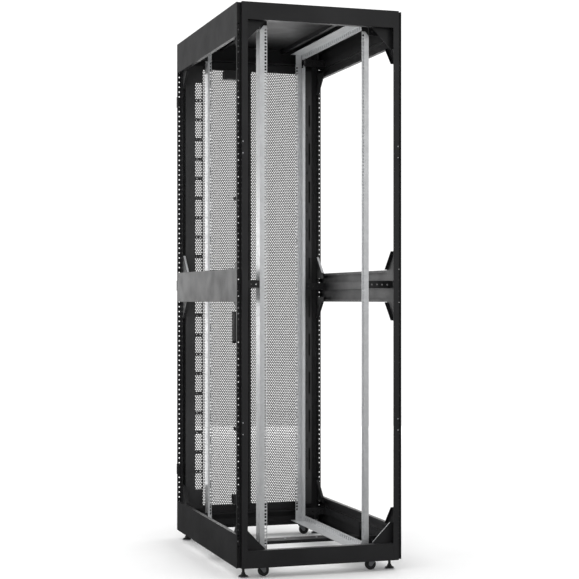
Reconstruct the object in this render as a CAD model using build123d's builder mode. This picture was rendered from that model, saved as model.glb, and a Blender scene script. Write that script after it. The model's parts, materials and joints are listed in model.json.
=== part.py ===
"""Open server rack cabinet, 52 units high: frame, 19-inch rails, split rear doors, casters and feet.

Millimetres, +Z up, X across the cabinet, -Y is the front. The origin is on the floor, at the centre
of the overall box. Places on the frame are given as u, the distance from the middle plane, and v, the
depth behind the front face or ahead of the rear face, with heights measured from the frame's base.
"""

import os
from math import cos, radians, sin

from build123d import *

# ---- driving dimensions ----
floor_gap = 47.0  # floor to the underside of the frame
frame_height = 2488.0
frame_depth = 1200.0
front_half_width = 368.0  # outer edge of the front and rear faces
skin_half_width = 387.0  # outer face of the side beams
skin_setback = 18.0  # side beams start this far behind the front face
rail_half_gap = 225.0  # 450 mm clear between the equipment rails
hole_half_span = 232.55  # 465.1 mm between the columns of rail holes
rack_unit = 44.45
unit_count = 52
rail_setback = 98.0  # rail face behind the front face, and ahead of the rear face
post_hole_pitch = 25.0

# ---- doors ----
door_gap = 1.5  # behind the frame's rear face
door_thickness = 26.0
handle_proud = 19.0  # escutcheon and lever behind the door's outer face
overall_depth = frame_depth + door_gap + door_thickness + handle_proud

front_y = -overall_depth / 2
rear_y = front_y + frame_depth
base_z = floor_gap

sides = {"left": -1, "right": 1}
ends = {"front": -1, "rear": 1}

os.makedirs("parts", exist_ok=True)


def save(builder, name):
    """Labels a finished piece and writes its STEP file."""
    builder.part.label = name
    export_step(builder.part, f"parts/{name}.step")


def y_at(end, v):
    """Y of a point v behind the front face (end -1) or v ahead of the rear face (end 1)."""
    return front_y + v if end < 0 else rear_y - v


def plan(points, side, end):
    """Plan points (u, v) of one corner as (X, Y)."""
    return [(side * u, y_at(end, v)) for u, v in points]


def z_at(height):
    """Z of a height above the frame's base."""
    return base_z + height


def facing_y(x, y, height):
    """A sketch plane that looks along Y: local x is X and local y is Z."""
    return Plane(origin=(x, y, z_at(height)), x_dir=(1, 0, 0), z_dir=(0, -1, 0))


def facing_x(x, y, height):
    """A sketch plane that looks along X: local x is Y and local y is Z."""
    return Plane(origin=(x, y, z_at(height)), x_dir=(0, 1, 0), z_dir=(1, 0, 0))


def box_at(x_range, y_range, height_range, mode=Mode.ADD):
    """A plain block inside the current part, between three pairs of limits."""
    lows = [min(r) for r in (x_range, y_range, height_range)]
    highs = [max(r) for r in (x_range, y_range, height_range)]
    with BuildSketch(Plane.XY.offset(z_at(lows[2]))) as profile:
        with Locations(((lows[0] + highs[0]) / 2, (lows[1] + highs[1]) / 2)):
            Rectangle(highs[0] - lows[0], highs[1] - lows[1])
    extrude(profile.sketch, amount=highs[2] - lows[2], mode=mode)


def prism(points, plane, length, mode=Mode.ADD):
    """A closed outline on a plane, extruded."""
    with BuildSketch(plane) as profile:
        with BuildLine():
            Polyline(*points, close=True)
        make_face()
    extrude(profile.sketch, amount=length, mode=mode)


# ---- corner posts ----
post_inner = 342.0
post_wall = 1.8
post_web_depth = 54.0
post_strip_v = 27.0  # the strip with the holes is recessed behind the face
post_tube_depth = 34.0
post_hole_u = 378.0
post_hole_radius = 3.5
post_hole_count = 93

post_outline = [
    (post_inner, 0),
    (front_half_width, 0),
    (front_half_width, post_strip_v),
    (skin_half_width - post_wall, post_strip_v),
    (skin_half_width - post_wall, skin_setback),
    (skin_half_width, skin_setback),
    (skin_half_width, post_strip_v + post_wall),
    (front_half_width, post_strip_v + post_wall),
    (front_half_width, post_web_depth),
    (front_half_width - post_wall, post_web_depth),
    (front_half_width - post_wall, post_tube_depth),
    (post_inner, post_wall),
]
post_void = [
    (post_inner + 5.0, post_wall),
    (front_half_width - post_wall, post_wall),
    (front_half_width - post_wall, post_tube_depth - 3.4),
]

for end_name, end in ends.items():
    for side_name, side in sides.items():
        with BuildPart() as post:
            with BuildSketch(Plane.XY.offset(base_z)):
                with BuildLine():
                    Polyline(*plan(post_outline, side, end), close=True)
                make_face()
                with BuildLine():
                    Polyline(*plan(post_void, side, end), close=True)
                make_face(mode=Mode.SUBTRACT)
            extrude(amount=frame_height)
            strip_y = y_at(end, post_strip_v + post_wall / 2)
            with BuildSketch(facing_y(side * post_hole_u, strip_y, frame_height / 2)):
                with GridLocations(1, post_hole_pitch, 1, post_hole_count):
                    Circle(post_hole_radius)
            extrude(amount=post_wall, both=True, mode=Mode.SUBTRACT)
        save(post, f"post_{end_name}_{side_name}")


# ---- front and rear beams between the posts ----
end_beam_height = 77.0
end_beam_depth = 30.0
end_beam_wall = 1.5
end_beam_half = post_inner - 0.2
rod_u = -65.5  # the latch rods' line, on the left door leaf
rod_v = 10.0  # ahead of the frame's rear face
rod_radius = 4.0


def channel(depth, height, wall, lip):
    """A lipped C section: its back at 0, its open side at depth, from height 0 up."""
    return [
        (0, 0),
        (depth, 0),
        (depth, lip),
        (depth - wall, lip),
        (depth - wall, wall),
        (wall, wall),
        (wall, height - wall),
        (depth - wall, height - wall),
        (depth - wall, height - lip),
        (depth, height - lip),
        (depth, height),
        (0, height),
    ]


end_beam_lows = {"bottom": 0.0, "top": frame_height - end_beam_height}

for end_name, end in ends.items():
    for level, low in end_beam_lows.items():
        with BuildPart() as beam:
            section = channel(end_beam_depth, end_beam_height, end_beam_wall, 8.0)
            outline = [(y_at(end, v), h) for v, h in section]
            prism(outline, facing_x(-end_beam_half, 0, low), 2 * end_beam_half)
            if end > 0:
                strike = Plane.XY.offset(z_at(low + end_beam_height / 2))
                toward = 1 if level == "bottom" else -1
                with BuildSketch(strike):
                    with Locations((rod_u, y_at(end, rod_v))):
                        Circle(rod_radius + 1.0)
                extrude(amount=toward * end_beam_height, mode=Mode.SUBTRACT)
        save(beam, f"beam_{end_name}_{level}")


# ---- side beams, and the hat-section struts behind them ----
side_beam_height = 147.0
side_beam_depth = 18.5
side_beam_wall = 1.5
side_beam_trim = 29.5  # the folded flanges start clear of the posts
skin_trim = 29.0
level_lows = {
    "bottom": 0.0,
    "mid": 1169.5,
    "top": frame_height - side_beam_height,
}

for side_name, side in sides.items():
    for level, low in level_lows.items():
        with BuildPart() as side_beam:
            section = channel(side_beam_depth, side_beam_height, side_beam_wall, 12.0)
            outline = [(side * (skin_half_width - d), h) for d, h in section]
            start = y_at(1, side_beam_trim)
            prism(outline, facing_y(0, start, low), frame_depth - 2 * side_beam_trim)
            box_at(
                (side * skin_half_width, side * (skin_half_width - side_beam_wall)),
                (y_at(-1, skin_trim), y_at(1, skin_trim)),
                (low, low + side_beam_height),
            )
        save(side_beam, f"side_beam_{side_name}_{level}")

hat_back = skin_half_width - side_beam_wall - 0.2
hat_face = 366.5
hat_wall = 1.5
hat_half_height = 18.0
hat_flange = 12.0
hat_setback = 60.0
strut_centres = {"bottom": 82.0, "mid": 1249.5, "top": frame_height - 82.0}


def hat(depth):
    """A hat section: flanges at 0, its face at depth, centred on height 0."""
    foot = hat_half_height + hat_flange
    inner = hat_half_height - hat_wall
    return [
        (0, -foot),
        (hat_wall, -foot),
        (hat_wall, -hat_half_height),
        (depth, -hat_half_height),
        (depth, hat_half_height),
        (hat_wall, hat_half_height),
        (hat_wall, foot),
        (0, foot),
        (0, inner),
        (depth - hat_wall, inner),
        (depth - hat_wall, -inner),
        (0, -inner),
    ]


with BuildPart() as struts:
    for centre in strut_centres.values():
        for side in sides.values():
            outline = [(side * (hat_back - d), h) for d, h in hat(hat_back - hat_face)]
            start = y_at(1, hat_setback)
            prism(outline, facing_y(0, start, centre), frame_depth - 2 * hat_setback)
save(struts, "side_struts")


# ---- roof ----
roof_wall = 1.5
roof_half_width = 365.8
roof_rim = 22.0
roof_half_depth = frame_depth / 2 - 31.5
stiffener_u = 165.0
roof_hole_u = 190.0
roof_hole_v = (474.0, 556.0)
roof_hole_radius = 4.0
roof_centre_y = (front_y + rear_y) / 2

with BuildPart() as roof_panel:
    with BuildSketch(Plane.XY.offset(z_at(frame_height - roof_wall))):
        with Locations((0, roof_centre_y)):
            Rectangle(2 * (post_inner - 1.0), 2 * roof_half_depth)
        for u in (-roof_hole_u, roof_hole_u):
            for v in roof_hole_v:
                with Locations((u, y_at(-1, v))):
                    Circle(roof_hole_radius, mode=Mode.SUBTRACT)
    extrude(amount=roof_wall)
    for u in (-stiffener_u, stiffener_u):
        box_at(
            (u - 1.0, u + 1.0),
            (roof_centre_y - roof_half_depth, roof_centre_y + roof_half_depth),
            (frame_height - roof_rim, frame_height - roof_wall),
        )
        box_at(
            (u - 1.0, u + 16.0),
            (roof_centre_y - roof_half_depth, roof_centre_y + roof_half_depth),
            (frame_height - roof_rim, frame_height - roof_rim + roof_wall),
        )
    for u in (-1, 1):
        box_at(
            (u * (post_inner - 1.0), u * (post_inner - 3.0)),
            (roof_centre_y - roof_half_depth, roof_centre_y + roof_half_depth),
            (frame_height - roof_rim, frame_height - roof_wall),
        )
        box_at(
            (u * (post_inner - 3.0), u * roof_half_width),
            (y_at(-1, post_web_depth + 2.0), y_at(1, post_web_depth + 2.0)),
            (frame_height - roof_wall, frame_height),
        )
save(roof_panel, "roof_panel")


# ---- gussets ----
gusset_leg = 95.0
gusset_wall = 1.8
gusset_face = front_half_width - post_wall - 0.2  # outer face of the side gussets
gusset_overlap = 25.0
gusset_start_v = 36.0
gusset_fold = 12.0


def side_gusset(side, end, edge, up):
    """A bent corner plate in a side opening: edge is the beam's edge, up is +1 above it."""
    outline = [
        (gusset_start_v, edge - up * gusset_overlap),
        (post_web_depth + gusset_leg - 6.0, edge - up * gusset_overlap),
        (post_web_depth + gusset_leg - 6.0, edge),
        (post_web_depth - 2.0, edge + up * gusset_leg),
        (gusset_start_v, edge + up * gusset_leg),
    ]
    inner = side * (gusset_face - gusset_wall)
    points = [(y_at(end, v), h) for v, h in outline]
    prism(points, facing_x(inner, 0, 0), side * gusset_wall)
    low = (post_web_depth + gusset_leg - 6.0, edge)
    high = (post_web_depth - 2.0, edge + up * gusset_leg)
    run = (high[0] - low[0], high[1] - low[1])
    length = (run[0] ** 2 + run[1] ** 2) ** 0.5
    along = (run[0] / length, run[1] / length)
    across = (along[1] * up * gusset_wall, -along[0] * up * gusset_wall)
    a = (low[0] + along[0] * 4, low[1] + along[1] * 4)
    b = (high[0] - along[0] * 14, high[1] - along[1] * 14)
    fold = [a, b, (b[0] - across[0], b[1] - across[1]), (a[0] - across[0], a[1] - across[1])]
    points = [(y_at(end, v), h) for v, h in fold]
    prism(points, facing_x(inner, 0, 0), -side * gusset_fold)


side_edges = [
    (level_lows["bottom"] + side_beam_height, 1),
    (level_lows["mid"], -1),
    (level_lows["mid"] + side_beam_height, 1),
    (level_lows["top"], -1),
]
for side_name, side in sides.items():
    with BuildPart() as gussets:
        for end in ends.values():
            for edge, up in side_edges:
                side_gusset(side, end, edge, up)
    save(gussets, f"side_gussets_{side_name}")

face_gusset_leg = 90.0
face_gusset_v = 35.2
with BuildPart() as face_gussets:
    for side in sides.values():
        for edge, up in ((end_beam_height, 1), (frame_height - end_beam_height, -1)):
            outer = gusset_face - gusset_wall - 0.3
            outline = [
                (side * outer, edge - up * 30.0),
                (side * (post_inner - face_gusset_leg), edge - up * 30.0),
                (side * (post_inner - face_gusset_leg), edge),
                (side * (post_inner - 2.0), edge + up * face_gusset_leg),
                (side * outer, edge + up * face_gusset_leg),
            ]
            plane = facing_y(0, y_at(-1, face_gusset_v + gusset_wall), 0)
            prism(outline, plane, gusset_wall)
save(face_gussets, "front_gussets")


# ---- 19-inch equipment rails ----
rail_wall = 2.0
rail_flange_edge = 259.0
rail_depth = 60.0
rail_low = 34.0
rail_height = 2371.0
rail_notch = (18.0, 25.0)  # cut from the outer corner at the top
rail_hole = 9.5
unit_hole_heights = (6.35, 22.225, 38.1)
first_unit = 81.5
side_hole_radius = 3.2

rail_outline = [
    (rail_half_gap, rail_setback),
    (rail_flange_edge, rail_setback),
    (rail_flange_edge, rail_setback + rail_depth),
    (rail_flange_edge - 10.0, rail_setback + rail_depth),
    (rail_flange_edge - 10.0, rail_setback + rail_depth - rail_wall),
    (rail_flange_edge - rail_wall, rail_setback + rail_depth - rail_wall),
    (rail_flange_edge - rail_wall, rail_setback + rail_wall),
    (rail_half_gap, rail_setback + rail_wall),
]

for end_name, end in ends.items():
    for side_name, side in sides.items():
        with BuildPart() as rail:
            with BuildSketch(Plane.XY.offset(z_at(rail_low))):
                with BuildLine():
                    Polyline(*plan(rail_outline, side, end), close=True)
                make_face()
            extrude(amount=rail_height)
            face = y_at(end, rail_setback + rail_wall / 2)
            with BuildSketch(facing_y(side * hole_half_span, face, first_unit)):
                for height in unit_hole_heights:
                    middle = height + (unit_count - 1) * rack_unit / 2
                    with Locations((0, middle)):
                        with GridLocations(1, rack_unit, 1, unit_count):
                            Rectangle(rail_hole, rail_hole)
            extrude(amount=rail_wall, both=True, mode=Mode.SUBTRACT)
            web = side * (rail_flange_edge - rail_wall / 2)
            web_middle = y_at(end, rail_setback + rail_depth / 2)
            with BuildSketch(facing_x(web, web_middle, rail_low + rail_height / 2)):
                with GridLocations(26, rack_unit, 2, unit_count):
                    Circle(side_hole_radius)
            extrude(amount=rail_wall, both=True, mode=Mode.SUBTRACT)
            edge = side * (rail_flange_edge + 1.0)
            top = rail_low + rail_height + 1.0
            inner = side * (rail_flange_edge - rail_notch[0])
            corner = [(edge, top), (inner, top), (edge, top - rail_notch[1])]
            plane = facing_y(0, y_at(end, rail_setback - 1.0), 0)
            prism(corner, plane, end * (rail_depth + 2.0), Mode.SUBTRACT)
        save(rail, f"rail_{end_name}_{side_name}")


# ---- depth rails that carry the equipment rails ----
depth_rail_face = rail_flange_edge + 0.2
depth_rail_wall = 2.0
depth_rail_trim = rail_setback + 2.2
depth_rail_inner = 200.0
depth_slot = (9.0, 17.0)
depth_slot_pitch = 30.0
depth_slot_count = 30
depth_rails = {"bottom": (32.0, 58.0), "top": (frame_height - 58.0, frame_height - 32.0)}

for level, (low, high) in depth_rails.items():
    with BuildPart() as depth_rail_pair:
        y_range = (y_at(-1, depth_rail_trim), y_at(1, depth_rail_trim))
        for side in sides.values():
            outer = side * (depth_rail_face + depth_rail_wall)
            box_at((side * depth_rail_face, outer), y_range, (low, high))
            edges = [(low, low + depth_rail_wall), (high - depth_rail_wall, high)]
            flange, lip = edges if level == "bottom" else edges[::-1]
            box_at((outer, side * depth_rail_inner), y_range, flange)
            box_at((side * depth_rail_face, side * (depth_rail_face + 9.0)), y_range, lip)
            slots = facing_x(side * (depth_rail_face + 1.0), roof_centre_y, (low + high) / 2)
            with BuildSketch(slots):
                with GridLocations(depth_slot_pitch, 1, depth_slot_count, 1):
                    SlotOverall(depth_slot[1], depth_slot[0], rotation=90)
            extrude(amount=depth_rail_wall, both=True, mode=Mode.SUBTRACT)
    save(depth_rail_pair, f"depth_rails_{level}")


# ---- brackets from the rails' tops up to the depth rails ----
bracket_wall = 1.8
bracket_low = rail_low + rail_height - 60.0
bracket_high = frame_height - 34.2  # just under the depth rails' upper flange
bracket_outer = rail_flange_edge - rail_wall - 0.2


def rail_bracket(side, end):
    """A plate behind a rail's flange that carries on up to the depth rail."""
    plane = facing_y(0, y_at(end, rail_setback + rail_wall + 0.1), 0)
    shoulder = rail_low + rail_height + 0.5
    outline = [
        (side * (rail_half_gap + 15.0), bracket_low),
        (side * bracket_outer, bracket_low),
        (side * bracket_outer, bracket_high),
        (side * (rail_half_gap + 1.0), bracket_high),
        (side * (rail_half_gap + 1.0), shoulder),
        (side * (rail_half_gap + 15.0), shoulder),
    ]
    prism(outline, plane, end * bracket_wall)


with BuildPart() as rear_brackets:
    for side in sides.values():
        rail_bracket(side, 1)
save(rear_brackets, "rail_brackets_rear")


# ---- straps from the rails to the side struts ----
strap_wall = 2.0
strap_height = 34.0
strap_tab = 24.0
strap_outer = hat_face - 0.2
strap_holes = 4
strap_hole_radius = 4.0
strap_inner = rail_flange_edge + 0.2
strap_centres = {"bottom": 82.0, "mid": 1249.5, "top": frame_height - 82.0}
# each end: where the strap's face stands, and which way its tabs turn
strap_places = {-1: (rail_setback + 2.4, 1), 1: (rail_setback + rail_depth - 0.4, -1)}

for level, centre in strap_centres.items():
    with BuildPart() as strap_set:
        for end in ends.values():
            v0, turn = strap_places[end]
            for side in sides.values():
                outline = [
                    (strap_inner, v0),
                    (strap_outer, v0),
                    (strap_outer, v0 + turn * strap_tab),
                    (strap_outer - strap_wall, v0 + turn * strap_tab),
                    (strap_outer - strap_wall, v0 + turn * strap_wall),
                    (strap_inner + strap_wall, v0 + turn * strap_wall),
                    (strap_inner + strap_wall, v0 + turn * strap_tab),
                    (strap_inner, v0 + turn * strap_tab),
                ]
                base = Plane.XY.offset(z_at(centre - strap_height / 2))
                prism(plan(outline, side, end), base, strap_height)
                x = side * (strap_inner + strap_outer) / 2
                y = y_at(end, v0 + turn * strap_wall / 2)
                with BuildSketch(facing_y(x, y, centre)):
                    with GridLocations(post_hole_pitch, 1, strap_holes, 1):
                        Circle(strap_hole_radius)
                extrude(amount=strap_wall, both=True, mode=Mode.SUBTRACT)
        if level == "top":
            for side in sides.values():
                rail_bracket(side, -1)
    save(strap_set, f"rail_straps_{level}")


# ---- rear cable panel, with its row of windows, and the accessory strip opposite ----
panel_wall = 1.5
panel_low = 110.0
panel_high = 2378.0
panel_v = 62.0  # ahead of the rear face
window = (35.0, 83.5)
window_u = 285.0
window_pitch = 100.0
window_count = 21
window_middle = 1250.0
panel_tab = (strap_centres["mid"] - 17.0, strap_centres["mid"] + 17.0)  # reaches the middle strut
panel_inner = 262.5
panel_outer = 351.0

with BuildPart() as cable_panel:
    y = y_at(1, panel_v)
    middle = -(panel_inner + panel_outer) / 2
    with BuildSketch(facing_y(middle, y, (panel_low + panel_high) / 2)):
        Rectangle(panel_outer - panel_inner, panel_high - panel_low)
        shift = window_middle - (panel_low + panel_high) / 2
        with Locations((-window_u - middle, shift)):
            with GridLocations(1, window_pitch, 1, window_count):
                RectangleRounded(*window, 3, mode=Mode.SUBTRACT)
            with GridLocations(18, window_pitch, 2, window_count - 1):
                Circle(2.6, mode=Mode.SUBTRACT)
    extrude(amount=panel_wall)
    for u in (panel_inner, panel_outer):
        inward = 1 if u == panel_inner else -1
        box_at((-u, -u - inward * panel_wall), (y - panel_wall, y + 16.0), (panel_low, panel_high))
    box_at((-panel_outer + 1.0, -strap_outer), (y - panel_wall, y), panel_tab)
save(cable_panel, "cable_panel_left")

strip_inner = 262.5
strip_outer = 324.0
strip_depth = 14.0
strip_hole_u = 299.0
strip_slot_u = 312.0
with BuildPart() as accessory_strip:
    y = y_at(1, panel_v)
    box_at((strip_inner, strip_outer), (y - panel_wall, y + strip_depth), (panel_low, panel_high))
    box_at(
        (strip_inner + panel_wall, strip_outer - panel_wall),
        (y, y + strip_depth - panel_wall),
        (panel_low - 1.0, panel_high + 1.0),
        Mode.SUBTRACT,
    )
    with BuildSketch(facing_y(0, y, (panel_low + panel_high) / 2)):
        with Locations((strip_hole_u, 0)):
            with GridLocations(1, window_pitch, 1, window_count):
                Circle(4.5)
        with Locations((strip_slot_u, 0)):
            with GridLocations(1, 2 * window_pitch, 1, 10):
                SlotOverall(115, 9, rotation=90)
    extrude(amount=panel_wall + 1.0, both=True, mode=Mode.SUBTRACT)
    box_at((strip_outer - 1.0, strap_outer), (y - panel_wall, y), panel_tab)
save(accessory_strip, "accessory_strip_right")


# ---- base: cross member and the carriers for casters and feet ----
cross_width = 85.0
cross_v = 557.0
cross_half = hat_face - 0.2
cross_low = 14.0
cross_high = 29.5
with BuildPart() as cross_member:
    y_range = (y_at(-1, cross_v - cross_width / 2), y_at(-1, cross_v + cross_width / 2))
    box_at((-cross_half, cross_half), y_range, (cross_high - 2.0, cross_high))
    for y in y_range:
        inward = 1 if y == y_range[0] else -1
        box_at((-350, 350), (y, y + inward * 2.0), (cross_low, cross_high))
    for side in (-1, 1):
        box_at((side * cross_half, side * (cross_half - 2.0)), y_range, (cross_high - 2.0, 98.0))
    with BuildSketch(Plane.XY.offset(z_at(cross_high))):
        with Locations((0, y_at(-1, cross_v))):
            with GridLocations(160, 1, 3, 1):
                Circle(4.5)
    extrude(amount=-4.0, mode=Mode.SUBTRACT)
save(cross_member, "base_cross_member")

caster_u = 267.0
caster_v = 60.0
foot_u = 346.0
foot_v = 62.0
stem_radius = 6.0
carrier_low = 14.0
carrier_wall = 3.0
carrier_inner_v = 98.0
caster_plate_size = 56.0
kingpin_radius = 4.0

with BuildPart() as carriers:
    for end in ends.values():
        y_flange = (y_at(end, 31.5), y_at(end, 31.5 + carrier_wall))
        y_plate = (y_at(end, 31.5), y_at(end, carrier_inner_v))
        box_at((-341, 341), y_plate, (carrier_low, carrier_low + carrier_wall))
        y_ears = (y_at(end, 46.0), y_at(end, carrier_inner_v))
        box_at((-363, 363), y_ears, (carrier_low, carrier_low + carrier_wall))
        box_at((-250, 250), y_flange, (carrier_low, 46.0))
        with BuildSketch(Plane.XY.offset(z_at(carrier_low - 1.0))):
            with Locations((0, y_at(end, foot_v))):
                with GridLocations(2 * foot_u, 1, 2, 1):
                    Circle(stem_radius + 0.5)
            with Locations((0, y_at(end, caster_v))):
                with GridLocations(2 * caster_u, 1, 2, 1):
                    with GridLocations(40, 40, 2, 2):
                        Circle(3.2)
        extrude(amount=carrier_wall + 2.0, mode=Mode.SUBTRACT)
save(carriers, "base_carriers")


# ---- casters ----
wheel_radius = 25.0
wheel_width = 18.0
wheel_lift = 0.5  # the feet take the load
caster_trail = 14.0
fork_wall = 2.5
fork_half = wheel_width / 2 + 1.0 + fork_wall
axle_radius = 4.0
crown_low = 4.5
wheel_centre = wheel_radius + wheel_lift - floor_gap
caster_turns = {
    "front_left": 8.0,
    "front_right": 172.0,
    "rear_left": 200.0,
    "rear_right": -15.0,
}

with BuildPart() as caster_plates:
    for end in ends.values():
        for side in sides.values():
            x, y = side * caster_u, y_at(end, caster_v)
            with BuildSketch(Plane.XY.offset(z_at(carrier_low - 2.7))):
                with Locations((x, y)):
                    RectangleRounded(caster_plate_size, caster_plate_size, 6)
                    with GridLocations(40, 40, 2, 2):
                        Circle(3.2, mode=Mode.SUBTRACT)
            extrude(amount=2.5)
            with BuildSketch(Plane.XY.offset(z_at(carrier_low - 2.7))):
                with Locations((x, y)):
                    Circle(kingpin_radius)
            extrude(amount=-8.0)
            with BuildSketch(Plane.XY.offset(z_at(crown_low - 0.3))):
                with Locations((x, y)):
                    Circle(kingpin_radius + 1.0)
            extrude(amount=-1.0)
save(caster_plates, "caster_plates")

for end_name, end in ends.items():
    for side_name, side in sides.items():
        corner = f"{end_name}_{side_name}"
        pivot = Vector(side * caster_u, y_at(end, caster_v), 0)
        heading = Vector(1, 0, 0).rotate(Axis.Z, caster_turns[corner])
        hub = pivot + heading * caster_trail
        side_plane = Plane(
            origin=(hub.X, hub.Y, z_at(wheel_centre)),
            x_dir=heading,
            z_dir=heading.cross(Vector(0, 0, 1)),
        )
        with BuildPart() as fork:
            top = crown_low + 2.2
            with BuildSketch(Plane(origin=(pivot.X, pivot.Y, z_at(crown_low)), x_dir=heading)):
                Circle(20)
            extrude(amount=top - crown_low + 3.4)
            with BuildSketch(Plane(origin=(pivot.X, pivot.Y, z_at(crown_low)), x_dir=heading)):
                Circle(kingpin_radius + 0.06)
            extrude(amount=12, mode=Mode.SUBTRACT)
            cheek_rise = crown_low + 1.0 - wheel_centre
            for cheek in (-1, 1):
                cheek_plane = side_plane.offset(cheek * fork_half)
                with BuildSketch(cheek_plane):
                    with BuildLine():
                        Polyline(
                            (-9, -2),
                            (9, -2),
                            (6, cheek_rise),
                            (-caster_trail - 17, cheek_rise),
                            (-caster_trail - 15, cheek_rise - 5),
                            close=True,
                        )
                    make_face()
                    Circle(9)
                extrude(amount=-cheek * fork_wall)
            with BuildSketch(side_plane.offset(-fork_half - 1.5)):
                Circle(axle_radius)
            extrude(amount=2 * fork_half + 3.0)
        save(fork, f"caster_fork_{corner}")
        with BuildPart() as wheel:
            with BuildSketch(side_plane.offset(-wheel_width / 2)):
                Circle(wheel_radius)
            extrude(amount=wheel_width)
            tread = wheel.edges().filter_by(GeomType.CIRCLE).group_by(lambda e: round(e.radius, 1))[-1]
            fillet(tread, 3.5)
            for face_side in (-1, 1):
                with BuildSketch(side_plane.offset(face_side * wheel_width / 2)):
                    Circle(17.5)
                    Circle(7.5, mode=Mode.SUBTRACT)
                extrude(amount=-face_side * 2.5, mode=Mode.SUBTRACT)
            with BuildSketch(side_plane.offset(-wheel_width)):
                Circle(axle_radius + 0.06)
            extrude(amount=2 * wheel_width, mode=Mode.SUBTRACT)
        save(wheel, f"caster_wheel_{corner}")


# ---- levelling feet ----
foot_radius = 21.0
stem_top = 74.0
nut_flats_radius = 10.4
nut_height = 9.0

for end_name, end in ends.items():
    for side_name, side in sides.items():
        with BuildPart() as foot:
            x, y = side * foot_u, y_at(end, foot_v)
            section = Plane(origin=(x, y, 0), x_dir=(1, 0, 0), z_dir=(0, -1, 0))
            with BuildSketch(section):
                with BuildLine():
                    Polyline(
                        (0, 0),
                        (foot_radius - 4.0, 0),
                        (foot_radius - 4.0, 3.0),
                        (foot_radius, 4.0),
                        (foot_radius, 6.5),
                        (foot_radius - 8.0, 10.5),
                        (9.0, 17.0),
                        (9.0, 20.0),
                        (stem_radius, 22.0),
                        (stem_radius, base_z + stem_top - 1.5),
                        (stem_radius - 1.5, base_z + stem_top),
                        (0, base_z + stem_top),
                        close=True,
                    )
                make_face()
            revolve(axis=Axis((x, y, 0), (0, 0, 1)))
        save(foot, f"levelling_foot_{end_name}_{side_name}")

with BuildPart() as foot_nuts:
    for end in ends.values():
        for side in sides.values():
            with BuildSketch(Plane.XY.offset(z_at(carrier_low + carrier_wall + 0.1))):
                with Locations((side * foot_u, y_at(end, foot_v))):
                    RegularPolygon(nut_flats_radius, 6)
                    Circle(stem_radius + 0.06, mode=Mode.SUBTRACT)
            extrude(amount=nut_height)
save(foot_nuts, "foot_nuts")


# ---- rear doors ----
leaf_inner = 1.5
leaf_outer = 362.0
closing_stile = 46.5
right_closing_stile = 12.5
hinge_stile = 337.0
leaf_low = 12.0
leaf_high = 2476.0
field_low = 114.0
field_high = 2372.0
sheet_wall = 1.5
leaf_wall = 1.5
leaf_face = rear_y + door_gap  # inner face of the door frames
leaf_back = leaf_face + door_thickness  # outer face of the perforated sheets
frame_back = leaf_back - sheet_wall - 0.1
hinge_u = 376.0
hinge_y = leaf_face + door_thickness / 2
hinge_heights = (300.0, 1244.0, 2188.0)
pin_radius = 3.0
sleeve_radius = 6.0
sleeve_height = 34.0
pintle_height = 18.0

for side_name, side in sides.items():
    stile = closing_stile if side < 0 else right_closing_stile
    with BuildPart() as door_frame:
        y_range = (leaf_face, frame_back)
        box_at((side * leaf_inner, side * leaf_outer), y_range, (leaf_low, leaf_high))
        field_x = (side * stile, side * hinge_stile)
        box_at(field_x, (leaf_face - 1, leaf_back), (field_low, field_high), Mode.SUBTRACT)
        hollow_y = (leaf_face + leaf_wall, frame_back + 1.0)
        full_x = (side * (leaf_inner + leaf_wall), side * (leaf_outer - leaf_wall))
        full_z = (leaf_low + leaf_wall, leaf_high - leaf_wall)
        box_at(full_x, hollow_y, (full_z[0], field_low - leaf_wall), Mode.SUBTRACT)
        box_at(full_x, hollow_y, (field_high + leaf_wall, full_z[1]), Mode.SUBTRACT)
        box_at((full_x[0], side * (stile - leaf_wall)), hollow_y, full_z, Mode.SUBTRACT)
        box_at((side * (hinge_stile + leaf_wall), full_x[1]), hollow_y, full_z, Mode.SUBTRACT)
        for height in hinge_heights:
            with BuildSketch(Plane.XY.offset(z_at(height + 0.4))):
                with Locations((side * hinge_u, hinge_y)):
                    Circle(sleeve_radius)
                with Locations((side * (leaf_outer + hinge_u - sleeve_radius / 2) / 2, hinge_y)):
                    Rectangle(hinge_u - sleeve_radius / 2 - leaf_outer, 4.0)
            extrude(amount=sleeve_height)
            with BuildSketch(Plane.XY.offset(z_at(height - 1.0))):
                with Locations((side * hinge_u, hinge_y)):
                    Circle(pin_radius + 0.06)
            extrude(amount=sleeve_height + 4.0, mode=Mode.SUBTRACT)
    save(door_frame, f"door_frame_{side_name}")

    with BuildPart() as door_sheet:
        y_range = (leaf_back - sheet_wall, leaf_back)
        box_at((side * leaf_inner, side * leaf_outer), y_range, (leaf_low, leaf_high))
        if side < 0:
            with BuildSketch(facing_y(rod_u, leaf_back, 1075.5)):
                Circle(6.0)
            extrude(amount=4.0, both=True, mode=Mode.SUBTRACT)
    save(door_sheet, f"door_sheet_{side_name}")

with BuildPart() as hinge_pintles:
    for side in sides.values():
        for height in hinge_heights:
            with BuildSketch(Plane.XY.offset(z_at(height))):
                with Locations((side * hinge_u, hinge_y)):
                    Circle(sleeve_radius)
                arm = (hinge_y - y_at(1, 3.0)) / 2
                with Locations((side * hinge_u, hinge_y - arm)):
                    Rectangle(7.0, 2 * arm)
                with Locations((side * 374.4, y_at(1, 14.9))):
                    Rectangle(12.0, 23.8)
            extrude(amount=-pintle_height)
            with BuildSketch(Plane.XY.offset(z_at(height))):
                with Locations((side * hinge_u, hinge_y)):
                    Circle(pin_radius)
            extrude(amount=sleeve_height - 6.0)
save(hinge_pintles, "hinge_pintles")


# ---- latch: case, spindle with cam, lever and two rods ----
hub_height = 1075.5
case_low = 965.0
case_high = 1116.0
case_half = 18.0
case_wall = 1.5
case_face = y_at(1, 22.0)
rod_y = y_at(1, rod_v)
cam_radius = 11.0  # spindle axis to the drive pins
cam_pin_radius = 2.5
cam_rest = 45.0
rod_plate_wall = 4.0

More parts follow.
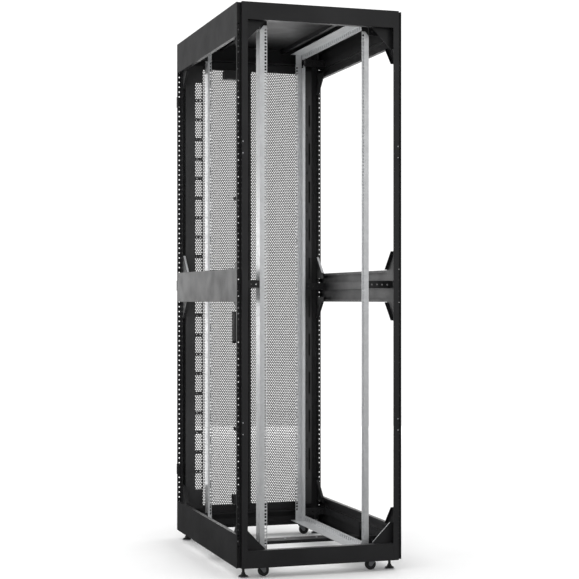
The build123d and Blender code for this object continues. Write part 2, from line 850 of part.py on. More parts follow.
with BuildPart() as lock_case:
    sheet_inner = leaf_back - sheet_wall - 0.1
    x_range = (rod_u - case_half, rod_u + case_half)
    box_at(x_range, (case_face, sheet_inner), (case_low, case_high))
    box_at(
        (x_range[0] + case_wall, x_range[1] - case_wall),
        (case_face + case_wall, sheet_inner + 1.0),
        (case_low + case_wall, case_high - case_wall),
        Mode.SUBTRACT,
    )
    with BuildSketch(Plane.XY.offset(z_at(case_low - 1.0))):
        with Locations((rod_u, rod_y)):
            Circle(rod_radius + 0.5)
    extrude(amount=case_high - case_low + 2.0, mode=Mode.SUBTRACT)
save(lock_case, "lock_case")

guide_rows = [(2325.0, 2368.0, 135.0), (1700.0, 1716.0, 76.0), (500.0, 516.0, 76.0), (118.0, 165.0, 86.0)]
with BuildPart() as rod_guides:
    for low, high, reach in guide_rows:
        box_at((-reach, -closing_stile - 0.2), (rod_y - 7.0, sheet_inner), (low, high))
        box_at(
            (-reach + 3.0, rod_u + 10.0),
            (rod_y + 7.0, sheet_inner + 1.0),
            (low + 3.0, high - 3.0),
            Mode.SUBTRACT,
        )
        with BuildSketch(Plane.XY.offset(z_at(low - 1.0))):
            with Locations((rod_u, rod_y)):
                Circle(rod_radius + 0.08)
        extrude(amount=high - low + 2.0, mode=Mode.SUBTRACT)
save(rod_guides, "rod_guides")

escutcheon_wall = 4.0
escutcheon_half = 15.0
lever_length = 112.0
with BuildPart() as escutcheon:
    plate_low = hub_height - lever_length - 12.0
    plate_middle = (plate_low + hub_height + 24.0) / 2
    with BuildSketch(facing_y(rod_u, leaf_back + 0.1, plate_middle)):
        RectangleRounded(2 * escutcheon_half, hub_height + 24.0 - plate_low, 8)
        with Locations((0, hub_height - plate_middle)):
            Circle(5.06, mode=Mode.SUBTRACT)
    extrude(amount=-escutcheon_wall)
save(escutcheon, "handle_escutcheon")

pivot_height = hub_height - 9.0
lever_y = leaf_back + escutcheon_wall + 8.4
with BuildPart() as spindle:
    with BuildSketch(facing_y(rod_u, rod_y + 5.0, hub_height)):
        Circle(15)
    extrude(amount=-3.0)
    for turn in (cam_rest, cam_rest + 180.0):
        x = rod_u + cam_radius * cos(radians(turn))
        height = hub_height - cam_radius * sin(radians(turn))
        with BuildSketch(facing_y(x, rod_y + 6.0, height)):
            Circle(cam_pin_radius)
        extrude(amount=8.0)
    with BuildSketch(facing_y(rod_u, rod_y + 7.0, hub_height)):
        Circle(5.0)
    extrude(amount=-(leaf_back + escutcheon_wall + 1.0 - rod_y - 7.0))
    hub_back = leaf_back + escutcheon_wall + 0.5
    with BuildSketch(facing_y(rod_u, hub_back, hub_height)):
        Circle(13.5)
    extrude(amount=-2.5)
    for ear in (-1, 1):
        ear_plane = facing_x(rod_u + ear * 9.5, lever_y, pivot_height)
        with BuildSketch(ear_plane):
            Circle(4.5)
            with Locations((-3.0, 4.0)):
                Rectangle(7.0, 9.0)
        extrude(amount=ear * 3.0)
    with BuildSketch(facing_x(rod_u - 11.0, lever_y, pivot_height)):
        Circle(2.0)
    extrude(amount=22.0)
save(spindle, "latch_spindle")

with BuildPart() as lever:
    with BuildSketch(facing_x(rod_u - 8.9, lever_y, pivot_height)):
        with BuildLine():
            Polyline(
                (-3.4, -4.0),
                (-3.4, -(lever_length - 14.0)),
                (2.0, -(lever_length - 8.0)),
                (5.6, -(lever_length - 10.0)),
                (6.6, -(lever_length - 18.0)),
                (4.0, -20.0),
                (4.0, 0),
                (2.4, 3.2),
                (-1.0, 3.6),
                close=True,
            )
        make_face()
    extrude(amount=17.8)
    fillet(lever.edges().filter_by(Axis.Z, tolerance=8), 2.0)
    with BuildSketch(facing_x(rod_u - 20.0, lever_y, pivot_height)):
        Circle(2.06)
    extrude(amount=40.0, mode=Mode.SUBTRACT)
save(lever, "handle_lever")

rod_travel = 2 * cam_radius * sin(radians(cam_rest))
rest_clearance = 9.0
rod_tips = {
    "upper": frame_height - end_beam_height - rest_clearance,
    "lower": end_beam_height + rest_clearance,
}
slot_height = 2 * cam_pin_radius + 1.3
for rod_name, tip in rod_tips.items():
    way = 1 if rod_name == "upper" else -1
    with BuildPart() as rod:
        foot_height = hub_height + way * 17.0
        with BuildSketch(Plane.XY.offset(z_at(foot_height))):
            with Locations((rod_u, rod_y)):
                Circle(rod_radius)
        extrude(amount=tip - foot_height)
        tip_edges = rod.edges().filter_by(GeomType.CIRCLE).sort_by(Axis.Z)
        chamfer(tip_edges[-1] if way > 0 else tip_edges[0], 1.5)
        pin_height = -way * cam_radius * sin(radians(cam_rest))
        outline = [
            (way * -4.0, way * 21.0),
            (way * -4.0, way * 16.0),
            (way * 3.6, way * 16.0),
            (way * 3.6, pin_height - way * 6.4),
            (way * 15.4, pin_height - way * 6.4),
            (way * 15.4, way * 12.0),
            (way * 4.0, way * 21.0),
        ]
        plane = facing_y(rod_u, rod_y + rod_plate_wall / 2, hub_height)
        prism(outline, plane, rod_plate_wall)
        with BuildSketch(facing_y(rod_u, rod_y, hub_height)):
            with Locations((way * 9.4, pin_height)):
                SlotOverall(9.6, slot_height)
        extrude(amount=rod_plate_wall, both=True, mode=Mode.SUBTRACT)
    save(rod, f"latch_rod_{rod_name}")


# ---- bolts through the straps, cross member and rails ----
bolt_radius = 5.0
bolt_head = 3.0


def bolt_head_at(plane):
    """A hexagon head standing on a plane."""
    with BuildSketch(plane) as profile:
        RegularPolygon(bolt_radius, 6)
    extrude(profile.sketch, amount=bolt_head)


with BuildPart() as frame_bolts:
    for centre in strap_centres.values():
        for end in ends.values():
            v0, turn = strap_places[end]
            for side in sides.values():
                tab = side * (strap_outer - strap_wall - 0.1)
                seat = (tab, y_at(end, v0 + turn * 14.0), z_at(centre))
                bolt_head_at(Plane(origin=seat, x_dir=(0, 1, 0), z_dir=(-side, 0, 0)))
    for x in (-160.0, 0.0, 160.0):
        bolt_head_at(Plane.XY.offset(z_at(cross_high) + 0.1).move(Location((x, y_at(-1, cross_v), 0))))
save(frame_bolts, "frame_bolts")
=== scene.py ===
"""Looks for the open server rack cabinet: camera, light, materials, perforated doors and small hardware."""

import json
import math

import bmesh
import bpy
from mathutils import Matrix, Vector


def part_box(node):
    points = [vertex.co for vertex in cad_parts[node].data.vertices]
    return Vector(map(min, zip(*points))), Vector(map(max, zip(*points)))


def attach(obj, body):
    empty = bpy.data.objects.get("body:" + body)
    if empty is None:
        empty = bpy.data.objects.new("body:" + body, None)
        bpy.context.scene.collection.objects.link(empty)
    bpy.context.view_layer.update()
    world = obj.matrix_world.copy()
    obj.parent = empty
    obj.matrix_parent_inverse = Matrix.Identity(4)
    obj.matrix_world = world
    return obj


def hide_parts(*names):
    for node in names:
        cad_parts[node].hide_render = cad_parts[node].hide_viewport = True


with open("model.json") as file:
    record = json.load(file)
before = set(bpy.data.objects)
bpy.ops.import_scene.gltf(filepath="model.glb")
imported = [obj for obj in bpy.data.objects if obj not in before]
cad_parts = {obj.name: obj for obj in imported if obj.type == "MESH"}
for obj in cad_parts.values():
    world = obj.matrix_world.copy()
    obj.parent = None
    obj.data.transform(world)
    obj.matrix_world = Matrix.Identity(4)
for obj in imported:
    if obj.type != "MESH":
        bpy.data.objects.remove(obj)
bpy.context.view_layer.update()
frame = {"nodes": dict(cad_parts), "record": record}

nodes = frame["nodes"]
record = frame["record"]
MM = 0.001


# ---- camera ----
front_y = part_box("beam_front_top")[0].y
frame_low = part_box("post_front_left")[0].z

CAMERA_TURN = math.radians(18.085)
CAMERA_LEFT = 2.103
CAMERA_AHEAD = 6.269
CAMERA_RISE = 1.180
LENS_MM, SENSOR_MM = 92.28, 36
LENS_SHIFT = (-0.0353, 0.01753)

camera_data = bpy.data.cameras.new("camera")
camera = bpy.data.objects.new("camera", camera_data)
bpy.context.scene.collection.objects.link(camera)
camera.location = (-CAMERA_LEFT, front_y - CAMERA_AHEAD, frame_low + CAMERA_RISE)
camera.rotation_euler = (math.pi / 2, 0, -CAMERA_TURN)
camera_data.lens = LENS_MM
camera_data.sensor_width = SENSOR_MM
camera_data.shift_x, camera_data.shift_y = LENS_SHIFT
bpy.context.scene.camera = camera


# ---- light and background ----
def softbox(name, location, target, size, radiance):
    """A large soft light, unseen by the camera, of an even radiance, that points at a target."""
    data = bpy.data.lights.new(name, "AREA")
    data.shape = "RECTANGLE"
    data.size, data.size_y = size
    data.energy = radiance * math.pi * size[0] * size[1]
    light = bpy.data.objects.new(name, data)
    bpy.context.scene.collection.objects.link(light)
    light.location = location
    direction = Vector(target) - Vector(location)
    light.rotation_euler = direction.to_track_quat("-Z", "Y").to_euler()
    light.visible_camera = False
    return light


# Strength of the white that lights the scene, and of the room that gloss reflects, low down and high up.
ROOM_WHITE, ROOM_LOW, ROOM_HIGH = 1.12, 0.02, 0.36
HORIZON_LOW, HORIZON_HIGH = -0.12, 0.2


def make_world():
    """White all round; mirrored surfaces see a dimmer room that darkens towards the ground."""
    world = bpy.data.worlds.new("studio")
    bpy.context.scene.world = world
    world.use_nodes = True
    tree = world.node_tree
    sky = tree.nodes["Background"]
    sky.inputs["Color"].default_value = (1, 1, 1, 1)
    path = tree.nodes.new("ShaderNodeLightPath")
    place = tree.nodes.new("ShaderNodeTexCoord")
    split = tree.nodes.new("ShaderNodeSeparateXYZ")
    ramp = tree.nodes.new("ShaderNodeMapRange")
    ramp.inputs["From Min"].default_value = HORIZON_LOW
    ramp.inputs["From Max"].default_value = HORIZON_HIGH
    ramp.inputs["To Min"].default_value = ROOM_LOW
    ramp.inputs["To Max"].default_value = ROOM_HIGH
    choose = tree.nodes.new("ShaderNodeMix")
    choose.inputs["A"].default_value = ROOM_WHITE
    tree.links.new(place.outputs["Generated"], split.inputs["Vector"])
    tree.links.new(split.outputs["Z"], ramp.inputs["Value"])
    tree.links.new(path.outputs["Is Glossy Ray"], choose.inputs["Factor"])
    tree.links.new(ramp.outputs["Result"], choose.inputs["B"])
    tree.links.new(choose.outputs["Result"], sky.inputs["Strength"])


make_world()

# Five softboxes round the cabinet, and one inside it for the roof's underside and the inner faces.
softbox("rear_left_softbox", (-3.4, 6.6, 1.45), (-0.2, 0.0, 1.3), (4.6, 1.5), 1.9)
softbox("rear_right_softbox", (2.5, 7.0, 1.1), (0.2, 0.0, 2.2), (3.2, 1.8), 2.0)
softbox("left_softbox", (-4.0, 0.4, 1.5), (0.0, 0.0, 1.3), (2.4, 2.0), 2.0)
softbox("front_softbox", (2.4, -7.0, 2.3), (0.0, -0.6, 1.5), (3.2, 3.0), 0.75)
softbox("inner_softbox", (0.0, 0.49, 1.33), (0.0, -2.0, 1.33), (0.58, 2.1), 1.1)
softbox("right_softbox", (4.2, 1.2, 2.4), (0.0, 0.2, 1.3), (2.6, 2.0), 0.8)

bpy.context.scene.view_settings.view_transform = "Standard"
bpy.context.scene.view_settings.look = "None"


# ---- materials ----
def shader(name):
    """A new material with its node tree, its Principled node and object coordinates."""
    material = bpy.data.materials.new(name)
    material.use_nodes = True
    tree = material.node_tree
    principled = tree.nodes["Principled BSDF"]
    place = tree.nodes.new("ShaderNodeTexCoord")
    return material, tree, principled, place.outputs["Object"]


def noise(tree, coordinates, scale, detail=3.0, stretch=None):
    """A noise texture, its cells 1/scale metres across, stretched if asked."""
    source = coordinates
    if stretch:
        mapping = tree.nodes.new("ShaderNodeMapping")
        mapping.inputs["Scale"].default_value = stretch
        tree.links.new(coordinates, mapping.inputs["Vector"])
        source = mapping.outputs["Vector"]
    texture = tree.nodes.new("ShaderNodeTexNoise")
    texture.inputs["Scale"].default_value = scale
    texture.inputs["Detail"].default_value = detail
    tree.links.new(source, texture.inputs["Vector"])
    return texture.outputs["Fac"]


def span(tree, value, low, high, from_low=0.35, from_high=0.65):
    """A value between from_low and from_high mapped to low..high."""
    ranged = tree.nodes.new("ShaderNodeMapRange")
    ranged.inputs["From Min"].default_value = from_low
    ranged.inputs["From Max"].default_value = from_high
    ranged.inputs["To Min"].default_value = low
    ranged.inputs["To Max"].default_value = high
    tree.links.new(value, ranged.inputs["Value"])
    return ranged.outputs["Result"]


def tint(tree, factor, dark, light):
    """A colour that runs from dark to light with factor."""
    mix = tree.nodes.new("ShaderNodeMix")
    mix.data_type = "RGBA"
    mix.inputs["A"].default_value = (*dark, 1)
    mix.inputs["B"].default_value = (*light, 1)
    tree.links.new(factor, mix.inputs["Factor"])
    return mix.outputs["Result"]


def bump(tree, principled, height, strength, distance):
    """Raises the surface by a height texture."""
    node = tree.nodes.new("ShaderNodeBump")
    node.inputs["Strength"].default_value = strength
    node.inputs["Distance"].default_value = distance
    tree.links.new(height, node.inputs["Height"])
    tree.links.new(node.outputs["Normal"], principled.inputs["Normal"])


ORANGE_PEEL_SCALE, ORANGE_PEEL_DEPTH = 900.0, 0.12 * MM


def powder_coat(name, shade, roughness):
    """Satin powder coat: fine orange peel, slight cloudiness and a few duller patches."""
    material, tree, principled, place = shader(name)
    clouds = noise(tree, place, 4.0)
    dark = tuple(c * 0.86 for c in shade)
    light = tuple(c * 1.16 for c in shade)
    tree.links.new(tint(tree, span(tree, clouds, 0, 1), dark, light), principled.inputs["Base Color"])
    patches = noise(tree, place, 11.0)
    rough = span(tree, patches, roughness - 0.035, roughness + 0.04)
    tree.links.new(rough, principled.inputs["Roughness"])
    principled.inputs["Specular IOR Level"].default_value = 0.42
    bump(tree, principled, noise(tree, place, ORANGE_PEEL_SCALE, 2.0), 0.35, ORANGE_PEEL_DEPTH)
    return material


DRAWING_MARK_DEPTH = 0.06 * MM


def zinc(name, shade, roughness):
    """Zinc-plated sheet: faint spangle, fine drawing marks along the length and patchy gloss."""
    material, tree, principled, place = shader(name)
    cells = tree.nodes.new("ShaderNodeTexVoronoi")
    cells.inputs["Scale"].default_value = 70.0
    tree.links.new(place, cells.inputs["Vector"])
    split = tree.nodes.new("ShaderNodeSeparateColor")
    tree.links.new(cells.outputs["Color"], split.inputs["Color"])
    dark = tuple(c * 0.95 for c in shade)
    light = tuple(min(1.0, c * 1.04) for c in shade)
    spangle = span(tree, split.outputs["Red"], 0, 1, 0.0, 1.0)
    tree.links.new(tint(tree, spangle, dark, light), principled.inputs["Base Color"])
    principled.inputs["Metallic"].default_value = 0.6
    patches = noise(tree, place, 16.0)
    tree.links.new(span(tree, patches, roughness - 0.03, roughness + 0.04), principled.inputs["Roughness"])
    marks = noise(tree, place, 500.0, 2.0, (1.0, 1.0, 0.04))
    bump(tree, principled, marks, 0.2, DRAWING_MARK_DEPTH)
    return material


MOULD_GRAIN_DEPTH = 0.1 * MM


def moulded(name, shade, roughness):
    """Moulded plastic or rubber with a fine even grain."""
    material, tree, principled, place = shader(name)
    clouds = noise(tree, place, 30.0)
    dark = tuple(c * 0.85 for c in shade)
    light = tuple(c * 1.2 for c in shade)
    tree.links.new(tint(tree, span(tree, clouds, 0, 1), dark, light), principled.inputs["Base Color"])
    grain = noise(tree, place, 2200.0, 1.0)
    tree.links.new(span(tree, grain, roughness - 0.05, roughness + 0.05), principled.inputs["Roughness"])
    bump(tree, principled, grain, 0.3, MOULD_GRAIN_DEPTH)
    return material


materials = {
    "frame_black": powder_coat("frame_black", (0.012, 0.012, 0.013), 0.42),
    "skin_black": powder_coat("skin_black", (0.016, 0.016, 0.017), 0.42),
    "door_black": powder_coat("door_black", (0.012, 0.012, 0.013), 0.45),
    "panel_grey": powder_coat("panel_grey", (0.030, 0.030, 0.031), 0.46),
    "latch_metal": powder_coat("latch_metal", (0.022, 0.022, 0.023), 0.40),
    "zinc_rail": zinc("zinc_rail", (0.70, 0.71, 0.72), 0.38),
    "zinc_fastener": zinc("zinc_fastener", (0.62, 0.63, 0.65), 0.30),
    "caster_steel": zinc("caster_steel", (0.24, 0.245, 0.255), 0.36),
    "wheel_black": moulded("wheel_black", (0.016, 0.016, 0.016), 0.55),
    "foot_black": moulded("foot_black", (0.018, 0.018, 0.018), 0.50),
    "handle_black": moulded("handle_black", (0.015, 0.015, 0.015), 0.42),
}

slot_of = {part["node"]: part["material_slot"] for part in record["subparts"]}
for name, node in nodes.items():
    node.data.materials.clear()
    node.data.materials.append(materials[slot_of[name]])


# ---- floor ----
def floor_material():
    """Pale matt studio floor with very slight mottling."""
    material, tree, principled, place = shader("studio_floor")
    mottle = span(tree, noise(tree, place, 2.0), 0, 1)
    colour = tint(tree, mottle, (0.94, 0.94, 0.94), (0.97, 0.97, 0.97))
    tree.links.new(colour, principled.inputs["Base Color"])
    principled.inputs["Roughness"].default_value = 0.9
    principled.inputs["Specular IOR Level"].default_value = 0.1
    return material


def make_floor(half=9.0):
    """A flat square floor under the feet."""
    mesh = bpy.data.meshes.new("floor")
    corners = [(-half, -half, 0), (half, -half, 0), (half, half, 0), (-half, half, 0)]
    mesh.from_pydata(corners, [], [(0, 1, 2, 3)])
    floor = bpy.data.objects.new("floor", mesh)
    bpy.context.scene.collection.objects.link(floor)
    mesh.materials.append(floor_material())
    floor.visible_glossy = False


make_floor()


# ---- helpers for new pieces ----
def add_piece(name, mesh, body, slot, replaced=()):
    """Links a finished mesh as a piece that rides on a body, in the material of its slot."""
    piece = bpy.data.objects.new(name, mesh)
    bpy.context.scene.collection.objects.link(piece)
    mesh.materials.append(materials[slot])
    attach(piece, body)
    if replaced:
        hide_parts(*replaced)
    return piece


def lofted_mesh(name, shells, joined=False):
    """One closed skin for each shell, a list of loops with equal counts of points.

    The first and last loops are capped, or joined to each other to make a ring.
    """
    bm = bmesh.new()
    for shell in shells:
        loops = [[bm.verts.new(point) for point in loop] for loop in shell]
        count = len(loops[0])
        following = loops[1:] + loops[:1] if joined else loops[1:]
        for lower, upper in zip(loops, following):
            for k in range(count):
                n = (k + 1) % count
                bm.faces.new([lower[k], lower[n], upper[n], upper[k]])
        if not joined:
            bm.faces.new(loops[0][::-1])
            bm.faces.new(loops[-1])
    bmesh.ops.recalc_face_normals(bm, faces=bm.faces)
    mesh = bpy.data.meshes.new(name)
    bm.to_mesh(mesh)
    bm.free()
    return mesh


# ---- perforated door sheets ----
PITCH = 10.0 * MM
HOLE_ACROSS = 6.1 * MM
ROW = PITCH * math.sqrt(3) / 2


class SheetBuilder:
    """Collects the two faces and the edges of a flat sheet in X and Z, between two Y planes."""

    def __init__(self, inner_y, outer_y):
        self.planes = (inner_y, outer_y)
        self.index = {}
        self.points = []
        self.faces = []

    def vertex(self, x, z, side):
        key = (round(x, 6), round(z, 6), side)
        if key not in self.index:
            self.index[key] = len(self.points)
            self.points.append((x, self.planes[side], z))
        return self.index[key]

    def flat(self, outline):
        """A face on both sides of the sheet, its outline counter-clockwise seen from -Y."""
        self.faces.append([self.vertex(x, z, 0) for x, z in outline])
        self.faces.append([self.vertex(x, z, 1) for x, z in reversed(outline)])

    def wall(self, a, b):
        """The edge face from a to b, with the sheet on the left going from a to b seen from -Y."""
        near, far = self.vertex(*a, 0), self.vertex(*b, 0)
        self.faces.append([far, near, self.vertex(*a, 1), self.vertex(*b, 1)])

    def mesh(self, name):
        mesh = bpy.data.meshes.new(name)
        mesh.from_pydata(self.points, [], self.faces)
        mesh.update()
        return mesh


def hexagon(x, z, across):
    """Corners of a pointy-topped hexagon, counter-clockwise from the lower right."""
    radius = across / math.sqrt(3)
    turns = (-30, 30, 90, 150, 210, 270)
    return [(x + radius * math.cos(math.radians(t)), z + radius * math.sin(math.radians(t))) for t in turns]


def perforated_sheet(name, x_range, z_range, field_x, rows, first_z, planes, capped):
    """A sheet with staggered hexagonal holes: whole cells inside field_x, plain margins round them."""
    sheet = SheetBuilder(*planes)
    columns = int((field_x[1] - field_x[0]) / PITCH - 0.5)
    start = (field_x[0] + field_x[1]) / 2 - (columns - 0.5) * PITCH / 2
    half, point, shoulder = PITCH / 2, PITCH / math.sqrt(3), PITCH / math.sqrt(12)
    left, right = [], []
    for row in range(rows):
        z = first_z + row * ROW
        shift = half if row % 2 else 0.0
        for column in range(columns):
            x = start + shift + column * PITCH
            outer, inner = hexagon(x, z, PITCH), hexagon(x, z, HOLE_ACROSS)
            for k in range(6):
                n = (k + 1) % 6
                sheet.flat([outer[k], outer[n], inner[n], inner[k]])
                sheet.wall(inner[n], inner[k])
        left += [(start + shift - half, z - shoulder), (start + shift - half, z + shoulder)]
        last = start + shift + (columns - 1) * PITCH + half
        right += [(last, z - shoulder), (last, z + shoulder)]
    top_shift = half if (rows - 1) % 2 else 0.0
    bottom = [(start - half, first_z - shoulder)]
    top_z = first_z + (rows - 1) * ROW
    top = [(start + top_shift - half, top_z + shoulder)]
    for column in range(columns):
        x = start + column * PITCH
        bottom += [(x, first_z - point), (x + half, first_z - shoulder)]
        top += [(x + top_shift, top_z + point), (x + top_shift + half, top_z + shoulder)]
    for a, b in zip(left, left[1:]):
        sheet.flat([(x_range[0], a[1]), a, b, (x_range[0], b[1])])
        sheet.wall((x_range[0], b[1]), (x_range[0], a[1]))
    for a, b in zip(right, right[1:]):
        sheet.flat([a, (x_range[1], a[1]), (x_range[1], b[1]), b])
        sheet.wall((x_range[1], a[1]), (x_range[1], b[1]))
    for edge, low_side in ((bottom, True), (top, False)):
        limit = z_range[0] if low_side else z_range[1]
        ends = [(x_range[0], edge[0][1])] + edge + [(x_range[1], edge[-1][1])]
        plain = capped[0 if low_side else 1]
        rim = [(x, limit) for x, z in ends] if plain else ends
        for k in range(len(ends) - 1):
            a, b = (k, k + 1) if low_side else (k + 1, k)
            sheet.wall(rim[a], rim[b])
            if plain:
                sheet.flat([rim[a], rim[b], ends[b], ends[a]])
        if plain:
            low_end, high_end = (rim, ends) if low_side else (ends, rim)
            sheet.wall(high_end[0], low_end[0])
            sheet.wall(low_end[-1], high_end[-1])
    return sheet.mesh(name)


FIELD_LOW, FIELD_HIGH = 114 * MM, 2372 * MM
HINGE_STILE, LEFT_STILE, RIGHT_STILE = 337 * MM, 46.5 * MM, 12.5 * MM
FIELD_ROWS = int((FIELD_HIGH - FIELD_LOW) / ROW) + 1
LOWER_ROWS = FIELD_ROWS // 4 * 2


def make_door_sheets():
    """Two meshes for each leaf, so that each stays light, meeting between two rows of holes."""
    for leaf, side, stile in (("left", -1, LEFT_STILE), ("right", 1, RIGHT_STILE)):
        low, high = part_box(f"door_sheet_{leaf}")
        field = sorted((side * (stile - PITCH / 2), side * (HINGE_STILE + PITCH / 2)))
        first = frame_low + (FIELD_LOW + FIELD_HIGH) / 2 - (FIELD_ROWS - 1) * ROW / 2
        x_range, planes = (low.x, high.x), (low.y, high.y)
        middle = first + LOWER_ROWS * ROW
        halves = (
            ("lower", LOWER_ROWS, first, (True, False)),
            ("upper", FIELD_ROWS - LOWER_ROWS, middle, (False, True)),
        )
        for part, rows, start, capped in halves:
            name = f"door_mesh_{leaf}_{part}"
            mesh = perforated_sheet(name, x_range, (low.z, high.z), field, rows, start, planes, capped)
            add_piece(name, mesh, f"door_{leaf}", "door_black", (f"door_sheet_{leaf}",))


make_door_sheets()


# ---- bevelled sheet edges ----
EDGE_WIDTHS_MM = {
    "post_": 0.7,
    "beam_": 0.8,
    "side_beam_": 0.6,
    "door_frame_": 0.7,
    "lock_case": 0.8,
}


def soften_edges():
    """Small rounded edges on the folded sheet parts, so that they catch light."""
    for name, node in nodes.items():
        for start, width in EDGE_WIDTHS_MM.items():
            if name.startswith(start):
                bevel = node.modifiers.new("edges", "BEVEL")
                bevel.width = width * MM
                bevel.segments = 2
                bevel.limit_method = "ANGLE"
                bevel.angle_limit = math.radians(50)
                bevel.harden_normals = True


soften_edges()


# ---- painted highlights on the gussets' folds: bright zinc strips where the black folds catch the light ----
HIGHLIGHT_STRIP_WALL, HIGHLIGHT_STRIP_LIP = 0.7 * MM, 2.4 * MM
REAR_HIGHLIGHT_STRIP_WIDTH, FRONT_HIGHLIGHT_STRIP_WIDTH = 10.0 * MM, 4.0 * MM
REAR_HIGHLIGHT_STRIP_LIFT, FRONT_HIGHLIGHT_STRIP_LIFT = 1.9 * MM, 0.8 * MM
REAR_HIGHLIGHT_STRIP_X = 364.0 * MM
FRONT_HIGHLIGHT_STRIP_INSET = 35.0 * MM


def strip_mesh(name, start, end, width, up):
    """A thin folded strip from start to end, as wide as a vector, with a short lip turned down."""
    across = width.normalized()
    profile = [
        Vector(),
        width,
        width - up * HIGHLIGHT_STRIP_LIP,
        width - up * HIGHLIGHT_STRIP_LIP - across * HIGHLIGHT_STRIP_WALL,
        width - across * HIGHLIGHT_STRIP_WALL - up * HIGHLIGHT_STRIP_WALL,
        -up * HIGHLIGHT_STRIP_WALL,
    ]
    return lofted_mesh(name, [[[base + offset for offset in profile] for base in (start, end)]])


def add_gusset_painted_highlights():
    """Bright zinc strips as painted highlights on the folds of two pairs of gussets: at the rear above the
    middle beam, and in the front's lower corners.
    """
    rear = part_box("post_rear_left")[1].y
    for side_name, side in (("left", -1), ("right", 1)):
        x = side * REAR_HIGHLIGHT_STRIP_X
        low = Vector((x, rear - 141.0 * MM, frame_low + 1319.0 * MM))
        high = Vector((x, rear - 61.0 * MM, frame_low + 1402.0 * MM))
        along = (high - low).normalized()
        up = Vector((0, -along.z, along.y)).normalized()
        lift = up * REAR_HIGHLIGHT_STRIP_LIFT
        width = Vector((-side * REAR_HIGHLIGHT_STRIP_WIDTH, 0, 0))
        name = f"gusset_painted_highlight_rear_{side_name}"
        mesh = strip_mesh(name, low + lift, high + lift, width, up)
        # The strip is a painted highlight: the fold itself is black and only catches the light.
        add_piece(name, mesh, "frame", "zinc_rail")

        y = front_y + FRONT_HIGHLIGHT_STRIP_INSET
        low = Vector((side * 254.5 * MM, y, frame_low + 80.5 * MM))
        high = Vector((side * 338.5 * MM, y, frame_low + 166.5 * MM))
        along = (high - low).normalized()
        up = Vector((-side * abs(along.z), 0, abs(along.x))).normalized()
        lift = up * FRONT_HIGHLIGHT_STRIP_LIFT
        width = Vector((0, FRONT_HIGHLIGHT_STRIP_WIDTH, 0))
        name = f"gusset_painted_highlight_front_{side_name}"
        mesh = strip_mesh(name, low + lift, high + lift, width, up)
        # The strip is a painted highlight: the fold itself is black and only catches the light.
        add_piece(name, mesh, "frame", "zinc_rail")


add_gusset_painted_highlights()


# ---- folded return of the front right post ----
RETURN_OUTSIDE, RETURN_WALL, RETURN_FOOT = 0.4 * MM, 1.1 * MM, 5.0 * MM
RETURN_NEAR, RETURN_FAR = 29.2 * MM, 47.0 * MM
RETURN_GAP = 3.0 * MM


def add_post_returns():
    """The folded return behind the hole strip of the front right post, between its side beams."""
    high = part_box("post_front_right")[1]
    beams = [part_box(f"side_beam_right_{place}") for place in ("bottom", "mid", "top")]
    x_out = high.x - RETURN_OUTSIDE
    x_in = x_out - RETURN_WALL
    y_near, y_far = front_y + RETURN_NEAR, front_y + RETURN_FAR
    outline = [
        (x_out, y_near),
        (x_out, y_far),
        (x_in - RETURN_FOOT, y_far),
        (x_in - RETURN_FOOT, y_far - RETURN_WALL),
        (x_in, y_far - RETURN_WALL),
        (x_in, y_near),
    ]
    for part, below, above in zip(("lower", "upper"), beams, beams[1:]):
        ends = (below[1].z + RETURN_GAP, above[0].z - RETURN_GAP)
        name = f"post_return_front_right_{part}"
        mesh = lofted_mesh(name, [[[(x, y, z) for x, y in outline] for z in ends]])
        add_piece(name, mesh, "frame", "frame_black")


add_post_returns()


# ---- screws ----
# Each ring of a screw head, outwards from the seat: radius and height, as parts of the head's.
SCREW_RINGS = ((1.0, 0.0), (1.0, 0.45), (0.86, 0.82), (0.55, 1.0), (0.3, 1.0), (0.22, 0.55))
SCREW_SIDES = 20
RECESS_RADIUS = 0.3
RECESS_ARM, RECESS_WAIST = 1.6, 0.6
SCREW_GAP = 0.1 * MM


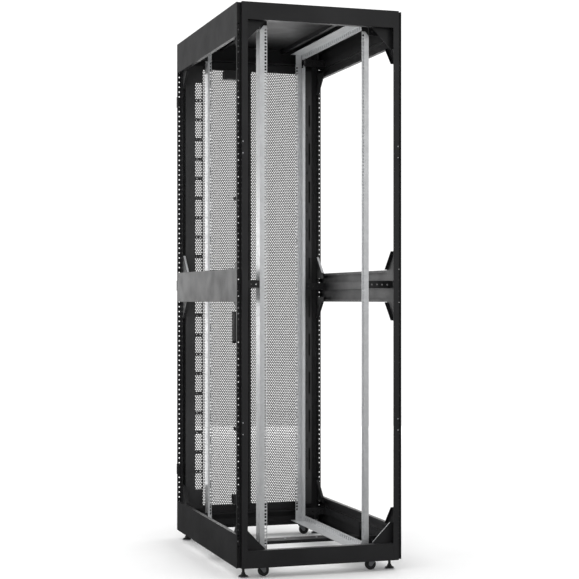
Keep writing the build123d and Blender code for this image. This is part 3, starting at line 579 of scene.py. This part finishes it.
def screw_shell(place, turn, radius, height):
    """Loops of one pan-head screw with a cross recess, standing on place."""
    shell = []
    for r, h in SCREW_RINGS:
        loop = []
        for k in range(SCREW_SIDES):
            angle = 2 * math.pi * k / SCREW_SIDES
            reach = r * radius
            if r <= RECESS_RADIUS:
                reach *= RECESS_ARM if k % 5 == 0 else RECESS_WAIST
            point = Vector((reach * math.cos(angle), reach * math.sin(angle), h * height))
            loop.append(Vector(place) + turn @ point)
        shell.append(loop)
    return shell


def add_screw_row(name, places, radius, height, body):
    """Screws on places that face the front, in one piece."""
    turn = Vector((0, 0, 1)).rotation_difference(Vector((0, -1, 0))).to_matrix().to_4x4()
    mesh = lofted_mesh(name, [screw_shell(place, turn, radius, height) for place in places])
    add_piece(name, mesh, body, "zinc_fastener")


def add_screws():
    """Two pairs of screws on each front post, and two on the lock case."""
    heights = [base + offset for base in (1874.0, 640.0) for offset in (0.0, -51.0)]
    for side_name, side in (("left", -1), ("right", 1)):
        places = [(side * 364.0 * MM, front_y - SCREW_GAP, frame_low + h * MM) for h in heights]
        add_screw_row(f"hinge_screws_{side_name}", places, 2.6 * MM, 1.2 * MM, "frame")
    low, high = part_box("lock_case")
    middle = (low.x + high.x) / 2
    places = [(middle, low.y - SCREW_GAP, z) for z in (low.z + 12 * MM, high.z - 12 * MM)]
    add_screw_row("lock_case_screws", places, 3.2 * MM, 1.6 * MM, "door_left")


add_screws()


# ---- rims of the levelling feet ----
RIM_SIDES = 40
# Profile of the rim in millimetres: how far it stands out from the foot's base, and height.
RIM_PROFILE = ((0.1, 0.2), (2.6, 0.2), (3.4, 1.0), (3.4, 2.2), (2.4, 3.2), (0.1, 3.6))


def add_foot_rims():
    """A light zinc-coloured rim at the base of each levelling foot, round its black cone."""
    angles = [2 * math.pi * k / RIM_SIDES for k in range(RIM_SIDES)]
    for corner in ("front_left", "front_right", "rear_left", "rear_right"):
        low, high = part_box(f"levelling_foot_{corner}")
        reach = (high.x - low.x) / 2
        centre = Vector(((low.x + high.x) / 2, (low.y + high.y) / 2, low.z))
        shell = []
        for out, height in RIM_PROFILE:
            r = reach + out * MM
            shell.append([centre + Vector((r * math.cos(a), r * math.sin(a), height * MM)) for a in angles])
        name = f"foot_rim_{corner}"
        add_piece(name, lofted_mesh(name, [shell], joined=True), f"foot_{corner}", "zinc_fastener")


add_foot_rims()
